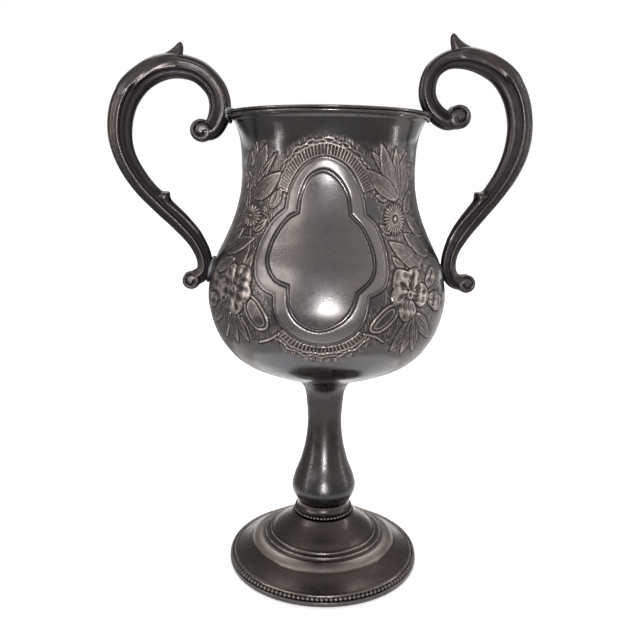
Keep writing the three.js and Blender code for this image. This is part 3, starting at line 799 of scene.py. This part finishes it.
def foot_mesh():
    """The raised foot. From the beads up it has a fillet, a hollow flare, a rounded step, a cove, two fine
    rings and a dome."""
    line = fitted(FOOT_OUTLINE, "foot_dome")
    low, top = line[0, 1], line[-1, 1]
    flare = spline([line[2], line[3], line[4] + (0, -0.15)], 10)
    step = spline([(36.2, 9.9), (35.2, 11.1), (33.6, 12.1), (31.6, 12.75)], 6)
    cove = spline([(31.2, 12.6), (30.4, 12.7), (29.9, 13.3)], 4)
    ring = arc((29.45, 13.75), (0.45, 0.45), -0.3, 2.6, 7)
    gully = spline([(28.8, 13.85), (28.0, 13.75), (27.2, 14.3)], 4)
    thin = arc((26.75, 14.75), (0.38, 0.38), 0, 2.4, 6)
    dome = spline([(26.2, 15.1), (24, 17.1), (20.5, 19.8), (17.5, 22.4), (15.4, top)], 7)
    fillet = [(45.7, low), (46.0, low + 1.2), (46.0, low + 1.9), (45.6, low + 2.25), (45.0, low + 2.1)]
    outer = np.array([*fillet, *flare, *step, *cove, *ring, *gully, *thin, *dome])
    wear = outline_wear(outer, 1.3)
    wear = np.where(wear < 0, 0.5 * wear, wear)
    rubbed = -smoothstep(10.0, 10.5, outer[:, 1]) * smoothstep(12.9, 12.4, outer[:, 1])
    wear -= 0.45 * rubbed
    under = np.array([(r - 0.7 * FOOT_WALL, z - 0.8 * FOOT_WALL) for r, z in dome[::-2]])
    under_flare = [(r, z - FOOT_WALL) for r, z in flare[::-2] if z - FOOT_WALL > low]
    roof = top - FOOT_WALL
    inside = [(BOLT_HOLE_RADIUS, top), (BOLT_HOLE_RADIUS, roof), (14.4, roof), *under[1:],
              (27.5, 12.9), (31, 11.4), (34, 9.9), *under_flare, (44.5, low)]
    rubbed = np.concatenate([rubbed, np.zeros(len(inside))])
    wear = np.concatenate([wear, np.full(len(inside), -0.3)])
    return turned("foot_raised", [*outer, *inside], 256, wear, rubbed, 50)


def band_mesh():
    """The plain band that the foot stands on. It reaches up a little to close the gap under the beads."""
    low, high, radius = extent("foot_band")
    high += 0.4
    edge = arc((radius - 0.5, low + 0.55), (0.5, 0.55), -1.57, 0, 6)
    top = arc((radius - 0.5, high - 0.5), (0.5, 0.5), 0, 1.57, 6)
    outline = np.array([(44.4, low), *edge, *top, (44.4, high)])
    return turned("foot_edge_band", outline, 256, 0.4 * outline_wear(outline, 1.0), sharp_degrees=50)


BEAD_SIZE = 0.9         # against the wire of the CAD model
BEAD_NECK = 0.6         # the girth between two beads, against that of a bead


def bead_row_mesh(name, node, count):
    """A ring of beads on a thin core wire, as beaded wire is: round beads joined by narrow necks."""
    low, high, reach = extent(node)
    room = 0.5 * (high - low)
    bead = BEAD_SIZE * room
    middle = 0.5 * (low + high) + room - bead
    per_bead, sides = 10, 14
    turn = np.linspace(0, 2 * math.pi, count * per_bead, endpoint=False)[:, None]
    phase = (np.arange(count * per_bead) % per_bead) / per_bead * 2 - 1
    girth = np.maximum(np.sqrt(np.clip(1 - phase**2, 0, 1)), BEAD_NECK)[:, None]
    around = np.linspace(0, 2 * math.pi, sides, endpoint=False)
    radius = reach - room + bead * girth * np.cos(around)
    points = np.stack([radius * np.sin(turn), -radius * np.cos(turn),
                       middle + bead * girth * np.sin(around)], -1)
    wear = np.clip((girth - 0.82) * 4, -1, 1) * (0.65 + 0.35 * np.cos(around - 0.8))
    return grid_mesh(name, points, wear, sharp_degrees=70)


def bolt_mesh():
    """A round-headed bolt with its thread at the lower end."""
    bottom, top, head = extent("tie_bolt")
    shank, core, pitch, seat = 2.3, 1.95, 0.9, top - 2.4
    thread = [(core if k % 2 else shank, bottom + 0.3 + 0.5 * pitch * k) for k in range(18)]
    dome = spline([(head, seat), (head - 0.35, seat + 1.0), (0.6 * head, top - 0.35), (0, top)], 6)
    outline = [(0, bottom), (shank - 0.4, bottom), *thread, (shank, bottom + 9), (shank, seat), *dome]
    return turned("tie_bolt_turned", outline, 64, closed=False)


def plate_mesh(name, node, sides, chamfer, shrink):
    """A washer or, with six sides, a nut. Its edges are turned off by the chamfer, where its corners
    reach only as far as shrink times its radius."""
    bottom, top, radius = extent(node)
    angle = np.linspace(0, 2 * math.pi, 96, endpoint=False)
    flat = radius * math.cos(math.pi / sides) / np.cos((angle % (2 * math.pi / sides)) - math.pi / sides)
    shrunk, hole = np.minimum(flat, shrink * radius), np.full_like(angle, BOLT_HOLE_RADIUS)
    rings = [(hole, bottom), (shrunk, bottom), (flat, bottom + chamfer), (flat, top - chamfer),
             (shrunk, top), (hole, top)]
    points = np.array([np.stack([r * np.cos(angle), r * np.sin(angle), np.full_like(angle, z)], -1)
                       for r, z in rings])
    return grid_mesh(name, points, sharp_degrees=30)


# ---------------------------------------------------------------- handles

# Centre lines as [distance from the axis, height, width of the bar], from the upper curl to the lower one
LEFT_HANDLE = [
    (58.2, 213, 9.2), (53.5, 213.8, 9), (50, 220.8, 10), (51, 229.8, 9.9), (57.8, 237.6, 10.2),
    (66, 240.3, 10.6), (75, 239.7, 11.4), (84.5, 234.4, 11.3), (91.6, 225.2, 11.5), (94.4, 212.5, 10.8),
    (92.7, 201.5, 9.6), (86.2, 189.6, 9.2), (77.7, 180.3, 9), (68.2, 171, 8.7), (61.5, 162.8, 8),
    (58.1, 154.5, 7.3), (58.7, 148.4, 7.2), (64.4, 144.6, 7.6),
]
RIGHT_HANDLE = [
    (60.7, 221.3, 10), (55.5, 219.8, 8.9), (49.3, 223.6, 8.8), (45.6, 231, 8.3), (47.2, 240.4, 8),
    (53.3, 245.8, 8.2), (62, 247.6, 10), (71, 245.9, 10.9), (80.5, 240.8, 11.5), (87.4, 231.8, 11.9),
    (90.9, 219, 11.8), (90.2, 207, 11.7), (86.3, 196.2, 10.7), (80.2, 186.4, 9.9), (72.2, 176.6, 9.8),
    (64.8, 166.7, 9), (60.4, 157.4, 7.7), (59.9, 149.3, 7.5), (62.6, 144.2, 7.6), (68.8, 142.5, 8.2),
]
HANDLE_DEPTH_RATIO = 0.8    # the bar's depth along Y against its width
LEFT_SPUR_TIP, RIGHT_SPUR_TIP = (66.7, 250.6), (56.6, 258.1)
LEFT_LEAF, RIGHT_LEAF = (76.2, 183.8), (74, 185.2)
END_CAP = 1.2               # how far from its ends the bar starts to round off


def reeds(across):
    """Depth of the reeding over the bar's width: across is 1 at its outer side and -1 at its inner side."""
    outer = 0.05 * np.sqrt(np.clip(1 - ((across - 0.79) / 0.23) ** 2, 0, 1))
    middle = 0.04 * np.sqrt(np.clip(1 - ((across - 0.33) / 0.21) ** 2, 0, 1))
    channel = -0.18 * smoothstep(0.12, -0.12, across) * smoothstep(-0.98, -0.50, across)
    return outer + middle + channel + 0.04 * bell(across - 0.11, 0.035)


def close_reeds(across):
    """Depth of the even, closer reeding over the arch of the handle."""
    return 0.035 * np.cos(2 * math.pi * np.arccos(np.clip(across, -1, 1)) / (math.pi / 5.5))


def handle_mesh(name, knots, spur_tip, leaf, side, beaded):
    """A cast bar with reeds, a sheath of leaves over its shoulder, a leaf on its lower inner side, a thumb
    spur and a scroll eye at each end. Share runs along the bar from 0 at its upper end to 1."""
    line = spline(knots, 24)
    total = arc_length(line[:, :2])
    stops = np.linspace(0, total[-1], round(total[-1] / 0.55))
    line = np.stack([np.interp(stops, total, line[:, k]) for k in range(3)], 1)
    reach, height, width = line[:, 0], line[:, 1], line[:, 2]
    tangent = np.gradient(line[:, :2], axis=0)
    tangent /= np.linalg.norm(tangent, axis=1)[:, None]
    out = np.stack([-tangent[:, 1], tangent[:, 0]], 1)

    sides = 96
    around = np.linspace(0, 2 * math.pi, sides, endpoint=False)
    across = np.cos(around)[None, :] * np.ones((len(stops), 1))
    share = (stops / stops[-1])[:, None]
    arch = smoothstep(0.40, 0.30, share) * smoothstep(0.04, 0.10, share)
    depth = (1 - arch) * reeds(across) + arch * (0.55 * reeds(across) + close_reeds(across) - 0.05)
    depth = depth * smoothstep(0.0, 0.03, share) * smoothstep(1.0, 0.975, share)
    if beaded:
        beads = 0.03 * np.cos(2 * math.pi * stops[:, None] / 1.5) * bell(across - 0.58, 0.06)
        depth = depth + beads * smoothstep(0.36, 0.42, share) * smoothstep(0.68, 0.62, share)

    # the leaves over the shoulder end in a lobed edge, and their tip points down the bow
    sheath_end = 0.400 + 0.028 * across - 0.018 * np.cos(2 * math.pi * across / 0.9)
    sheath = smoothstep(0.245, 0.262, share) * smoothstep(sheath_end + 0.004, sheath_end - 0.004, share)
    sheath = sheath * smoothstep(-0.35, -0.15, across)
    veins = 0.010 * np.cos(2 * math.pi * (across * 2.1 + 14 * (share - 0.25)))
    depth = depth * (1 - 0.75 * sheath) + sheath * (0.02 + 0.05 * smoothstep(0.33, 0.40, share) + veins)

    # the leaf on the lower inner side, with a raised root
    near_leaf = np.hypot(reach - leaf[0], height - leaf[1]).argmin()
    at_leaf = stops[near_leaf] / stops[-1]
    blade = (share - at_leaf + 0.012) / 0.16
    blade_mask = smoothstep(0, 0.06, blade) * smoothstep(1, 0.9, blade)
    blade_mask = blade_mask * smoothstep(0.0, -0.16, across + 0.30 + 0.45 * np.clip(blade, 0, 1))
    depth = depth * (1 - 0.7 * blade_mask) + blade_mask * 0.08 * (1 - 0.5 * np.clip(blade, 0, 1))
    depth += 0.42 * bell(share - at_leaf - 0.004, 0.011) * smoothstep(-0.35, -0.85, across)

    smooth = blur(np.pad(depth, ((0, 0), (6, 6)), mode="wrap"), 3)[:, 6:-6]
    wear = np.clip((depth - smooth) / 0.06, -1, 1)
    wear = np.where(wear > 0, 0.45 * wear, 0.6 * wear) + 3.0 * np.minimum(depth, 0)
    half = 0.5 * width[:, None] * (1 + depth)
    for gap in (stops, stops[-1] - stops):
        half *= np.sqrt(np.clip(1 - (1 - np.minimum(gap / END_CAP, 1)) ** 2, 0.0004, 1))[:, None]
    x = reach[:, None] + out[:, :1] * half * np.cos(around)
    z = height[:, None] + out[:, 1:] * half * np.cos(around)
    y = HANDLE_DEPTH_RATIO * half * np.sin(around)
    bar = grid_mesh(name, np.stack([side * x, y, z], -1), wear, wrap_rows=False, sharp_degrees=75)
    eyes = [eye_mesh(knots[0], knots[1], side), eye_mesh(knots[-1], knots[-2], side)]
    return joined(name, [bar, spur_mesh(spur_tip, side), *eyes])


def spur_mesh(tip, side):
    """The thumb spur: a leaf that lies on the top of the bar and lifts its tip."""
    reach, height = tip
    spine = spline([(reach + 15, height - 7.6, 0.8), (reach + 10.3, height - 5.9, 3.0),
                    (reach + 5.5, height - 3.9, 3.2), (reach + 2.7, height - 1.9, 2.8),
                    (reach + 1.2, height - 0.4, 2.4), (reach + 0.5, height, 1.6)], 8)
    inner = spline([(reach + 12, height - 11.5), (reach + 6, height - 11), (reach + 0.5, height - 9.5),
                    (reach - 0.9, height - 5.5), (reach - 1.2, height - 1.6), (reach - 0.5, height)], 8)
    sides = 20
    around = np.linspace(0, 2 * math.pi, sides, endpoint=False)
    middle = 0.5 * (spine[:, :2] + inner)
    spread = 0.5 * (spine[:, :2] - inner)
    keel = np.sign(np.cos(around)) * np.abs(np.cos(around)) ** 1.3
    xz = middle[:, None] + spread[:, None] * keel[None, :, None]
    thick = np.minimum(spine[:, 2], 3.2)[:, None] * np.sin(around)[None] * 0.62
    points = np.stack([side * xz[..., 0], thick, xz[..., 1]], -1)
    first, last = points[:1].mean(1, keepdims=True), points[-1:].mean(1, keepdims=True)
    points = np.concatenate([np.repeat(first, sides, 1), points, np.repeat(last, sides, 1)])
    wear = np.repeat(0.5 * keel[None], len(points), 0)
    return grid_mesh("spur", points, wear, wrap_rows=False, sharp_degrees=60)


def eye_mesh(knot, start, side):
    """A scroll eye: a rounded button, its axis level across the bar, with a groove that coils into it."""
    reach, height, width = knot
    radius = 0.55 * width
    thick = HANDLE_DEPTH_RATIO * 0.5 * width
    share = np.array([0, 0.12, 0.24, 0.36, 0.48, 0.6, 0.72, 0.82, 0.9, 0.96, 1.0])
    dome = thick * (0.62 + 0.40 * np.sqrt(np.clip(1 - 0.98 * share**4, 0, 1)))
    around = np.linspace(0, 2 * math.pi, 64, endpoint=False)
    turn = ((around - math.atan2(start[1] - height, start[0] - reach)) / (2 * math.pi)) % 1
    coil = bell(share[:, None] - (0.25 + 0.6 * turn[None]), 0.11) * smoothstep(0.0, 0.2, share)[:, None]
    front = dome[:, None] - 0.20 * radius * coil
    depth = np.concatenate([front, -front[::-1]])
    ring = np.concatenate([share, share[::-1]])[:, None] * radius
    points = np.stack([side * (reach + ring * np.cos(around)), -depth, height + ring * np.sin(around)], -1)
    wear = 0.1 - 0.8 * np.concatenate([coil, coil[::-1]])
    return grid_mesh("eye", points, wear, np.full(wear.shape, -0.3), wrap_rows=False, sharp_degrees=60)


def joined(name, meshes):
    """One mesh out of several."""
    model = bmesh.new()
    for mesh in meshes:
        model.from_mesh(mesh)
        bpy.data.meshes.remove(mesh)
    whole = bpy.data.meshes.new(name)
    model.to_mesh(whole)
    model.free()
    finish_mesh(whole, 60)
    return whole


SOLDER_SWELL = {"left": 0.70, "right": 0.42}    # how much the joints of each handle swell
SOLDER_VOXEL = 0.28


def solder_mesh(name, node, seed):
    """A lump of solder: the thin CAD layer rounded off, swollen to touch both sides, and made uneven."""
    piece = add_object(name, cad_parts[node].data.copy())
    remesh = piece.modifiers.new("even", "REMESH")
    remesh.mode = "VOXEL"
    remesh.voxel_size = SOLDER_VOXEL * MM
    smooth = piece.modifiers.new("soft", "SMOOTH")
    smooth.iterations = 6
    evaluated = piece.evaluated_get(bpy.context.evaluated_depsgraph_get())
    mesh = bpy.data.meshes.new_from_object(evaluated)
    bpy.data.objects.remove(piece)
    count = len(mesh.vertices)
    points, normals = np.empty(count * 3), np.empty(count * 3)
    mesh.vertices.foreach_get("co", points)
    mesh.vertices.foreach_get("normal", normals)
    points, normals = points.reshape(-1, 3), normals.reshape(-1, 3)
    waves = np.sin(points @ (np.random.default_rng(seed).normal(size=(3, 5)) * 900)).mean(1)
    swell = SOLDER_SWELL[node.split("_")[-1]] + 0.35 * waves
    mesh.vertices.foreach_set("co", (points + normals * swell[:, None] * MM).astype(np.float32).ravel())
    mesh.materials.clear()
    add_layer(mesh, "wear", np.clip(waves * 1.5, -1, 1))
    mesh.name = name
    mesh.update()
    mesh.shade_smooth()
    return mesh


# ---------------------------------------------------------------- the cup

add_piece(bowl_mesh(), "bowl", "bowl_plate")
add_piece(rim_mesh(), "rim_wire", "rim_plate")
add_piece(handle_mesh("handle_left_cast", LEFT_HANDLE, LEFT_SPUR_TIP, LEFT_LEAF, -1, False),
          "handle_left", "handle_plate")
add_piece(handle_mesh("handle_right_cast", RIGHT_HANDLE, RIGHT_SPUR_TIP, RIGHT_LEAF, 1, True),
          "handle_right", "handle_plate")
for seed, joint in enumerate(("upper_left", "lower_left", "upper_right", "lower_right")):
    node = "solder_" + joint
    add_piece(solder_mesh(node + "_lump", node, seed), node, "solder")
add_piece(stem_mesh(), "stem", "stem_plate")
add_piece(collar_mesh(), "collar", "foot_plate")
add_piece(bead_row_mesh("collar_beads", "collar_bead_wire", 52), "collar_bead_wire", "bead_plate")
add_piece(foot_mesh(), "foot_dome", "foot_plate")
add_piece(bead_row_mesh("foot_beads", "foot_bead_wire", 136), "foot_bead_wire", "bead_plate")
add_piece(band_mesh(), "foot_band", "stem_plate")
add_piece(bolt_mesh(), "tie_bolt", "brass")
add_piece(plate_mesh("foot_washer_disc", "foot_washer", 48, 0.25, 0.98), "foot_washer", "brass")
add_piece(plate_mesh("foot_nut_hex", "foot_nut", 6, 0.5, 0.93), "foot_nut", "brass")


# ---------------------------------------------------------------- camera, floor and light

CAMERA_DISTANCE = 332.46    # from the axis of the cup
CAMERA_HEIGHT = 194.60
CAMERA_AZIMUTH = 6.5        # degrees: the cup is seen from a little to the left of its front
CAMERA_PITCH = 11.896
CAMERA_YAW = -0.517         # away from the axis
CAMERA_ROLL = 0.772
FOCAL_LENGTH, SENSOR_WIDTH = 39.09, 36
FLOOR_REACH = 12            # metres, as all lengths of the floor, the painted shade flags and the lights below are
SHADE_FLAG_HEIGHT = 0.003        # above the floor


def add_camera():
    data = bpy.data.cameras.new("camera")
    data.lens, data.sensor_width = FOCAL_LENGTH, SENSOR_WIDTH
    data.clip_start, data.clip_end = 0.01, 50
    camera = add_object("camera", data)
    azimuth, pitch, roll = (math.radians(a) for a in (CAMERA_AZIMUTH, CAMERA_PITCH, CAMERA_ROLL))
    yaw = math.radians(CAMERA_YAW + CAMERA_AZIMUTH)
    turn = Matrix.Rotation(-yaw, 4, "Z") @ Matrix.Rotation(math.pi / 2 - pitch, 4, "X")
    turn = turn @ Matrix.Rotation(roll, 4, "Z")
    away = CAMERA_DISTANCE * MM
    stand = (-away * math.sin(azimuth), -away * math.cos(azimuth), CAMERA_HEIGHT * MM)
    camera.matrix_world = Matrix.Translation(stand) @ turn
    bpy.context.scene.camera = camera


def add_floor():
    mesh = bpy.data.meshes.new("floor")
    corners = [(x * FLOOR_REACH, y * FLOOR_REACH, 0) for x, y in ((-1, -1), (1, -1), (1, 1), (-1, 1))]
    mesh.from_pydata(corners, [], [(0, 1, 2, 3)])
    mesh.materials.append(floor_material())
    floor = add_object("floor", mesh)


def add_light(name, azimuth, elevation, distance, width, height, power, target=0.15, shape="RECTANGLE",
              colour=(1, 1, 1)):
    """A soft light that faces the axis of the cup at the height of target. Azimuth 0 is in front, at -Y,
    and it grows towards +X."""
    data = bpy.data.lights.new(name, "AREA")
    data.shape, data.size, data.size_y = shape, width, height
    data.energy, data.color = power, colour
    light = add_object(name, data)
    a, e = math.radians(azimuth), math.radians(elevation)
    level = distance * math.cos(e)
    light.location = (level * math.sin(a), -level * math.cos(a), target + distance * math.sin(e))
    light.rotation_euler = (math.pi / 2 - e, 0, a)
    light.visible_camera = False


def add_flag(name, inner, outer, tone, first=0, last=360):
    """A dull ring on the floor, or a sector of it between two azimuths, that only reflections see, as a
    photographer lays cloth round shiny metal. It is painted shade: it darkens what the cup reflects from
    below, where the floor the camera sees is white."""
    mesh = bpy.data.meshes.new(name)
    steps = 48
    angles = [math.radians(first + (last - first) * k / steps) for k in range(steps + 1)]
    ring = [(r * math.sin(a), -r * math.cos(a), SHADE_FLAG_HEIGHT) for a in angles for r in (inner, outer)]
    faces = [(2 * k, 2 * k + 1, 2 * k + 3, 2 * k + 2) for k in range(steps)]
    mesh.from_pydata(ring, [], faces)
    n = Nodes(bpy.data.materials.new(name))
    shade_tone = n.mix(n.noise(3), (tone, tone, tone), (1.1 * tone, 1.05 * tone, tone))
    n.surface({"Base Color": shade_tone, "Roughness": 1.0, "Specular IOR Level": 0.0})
    mesh.materials.append(n.owner)
    flag = add_object(name, mesh)
    for ray in ("camera", "diffuse", "shadow", "transmission"):
        setattr(flag, "visible_" + ray, False)


# The tint of the surroundings by azimuth in degrees, 0 at the front and growing towards +X: cool straight
# ahead, warm beside it, and dim further round to the back
HORIZON = [
    (-160, (0.40, 0.39, 0.38)), (-135, (0.36, 0.34, 0.33)), (-92, (0.40, 0.38, 0.36)),
    (-66, (1.15, 1.08, 1.01)), (-36, (1.16, 1.09, 1.02)), (-31, (1.10, 1.04, 0.98)),
    (-28, (0.92, 0.95, 1.00)), (8, (0.92, 0.95, 1.00)), (11, (1.10, 1.04, 0.98)),
    (70, (0.90, 0.88, 0.86)), (105, (0.52, 0.51, 0.50)), (150, (0.26, 0.26, 0.26)),
]
OVERHEAD_TINT = (0.66, 0.64, 0.62)      # takes over from it high up

# The brightness on the camera's side, by how a reflected ray rises: 0 is level and 1 straight up
RISE = [
    (0.0, (0.34, 0.34, 0.34)), (0.12, (0.38, 0.38, 0.38)), (0.36, (0.82, 0.82, 0.83)),
    (0.62, (0.47, 0.47, 0.48)), (1.0, (0.85, 0.85, 0.85)),
]


def add_world():
    """A white studio. Polished metal sees darker, tinted surroundings instead, as in a furnished room."""
    world = bpy.data.worlds.new("studio")
    bpy.context.scene.world = world
    n = Nodes(world)
    where, azimuth = n.places["Generated"], math.radians(CAMERA_AZIMUTH)
    front = (-math.sin(azimuth), -math.cos(azimuth), 0.0)
    toward = n.add("ShaderNodeVectorMath", {0: where, 1: front}, operation="DOT_PRODUCT")
    x, y, z = n.add("ShaderNodeSeparateXYZ", {0: where}).outputs
    level = n.mix(n.span(toward.outputs["Value"], 0.25, 0.85), 1.0, n.ramp(z, RISE), "FLOAT")

    heading = n.math("ARCTAN2", x, n.math("MULTIPLY", y, -1.0))
    tint = n.ramp(n.span(heading, -math.pi, math.pi), [((a + 180) / 360, tone) for a, tone in HORIZON])
    tint = n.mix(n.span(z, 0.50, 0.90, 0.0, 0.85), tint, OVERHEAD_TINT)
    mirrored = n.add("ShaderNodeLightPath", {}).outputs["Is Glossy Ray"]
    n.surface({"Strength": n.mix(mirrored, 1.0, level, "FLOAT"), "Color": n.mix(mirrored, (1, 1, 1), tint)})


add_camera()
add_floor()
add_world()
add_light("overhead", 175, 62, 1.3, 1.4, 1.4, 16)
add_light("strip_left", -71, 8, 0.50, 0.018, 0.55, 0.44, target=0.14)
add_light("strip_right", 83, 8, 0.50, 0.012, 0.55, 0.38, target=0.14)
add_light("camera_glow", -5, 2.5, 0.95, 0.11, 0.11, 2.0, target=0.143, shape="DISK")
add_light("camera_halo", -5, -0.5, 0.90, 0.34, 0.24, 1.35, target=0.143, shape="ELLIPSE")
add_light("side_left", -52, 22, 0.95, 0.45, 0.45, 1.0, target=0.17, shape="DISK", colour=(1, 0.95, 0.9))
# painted shade seen only in reflections: a dim ring where the floor round the cup lies in its shade, a dark
# floor further out, and a less dark sector at the back right
add_flag("reflected_shade_near", 0.12, 0.20, 0.55)
add_flag("reflected_shade_far", 0.20, 2.4, 0.20, 155, 445)
add_flag("reflected_shade_right", 0.20, 2.4, 0.48, 85, 155)

bpy.context.scene.view_settings.view_transform = "Standard"
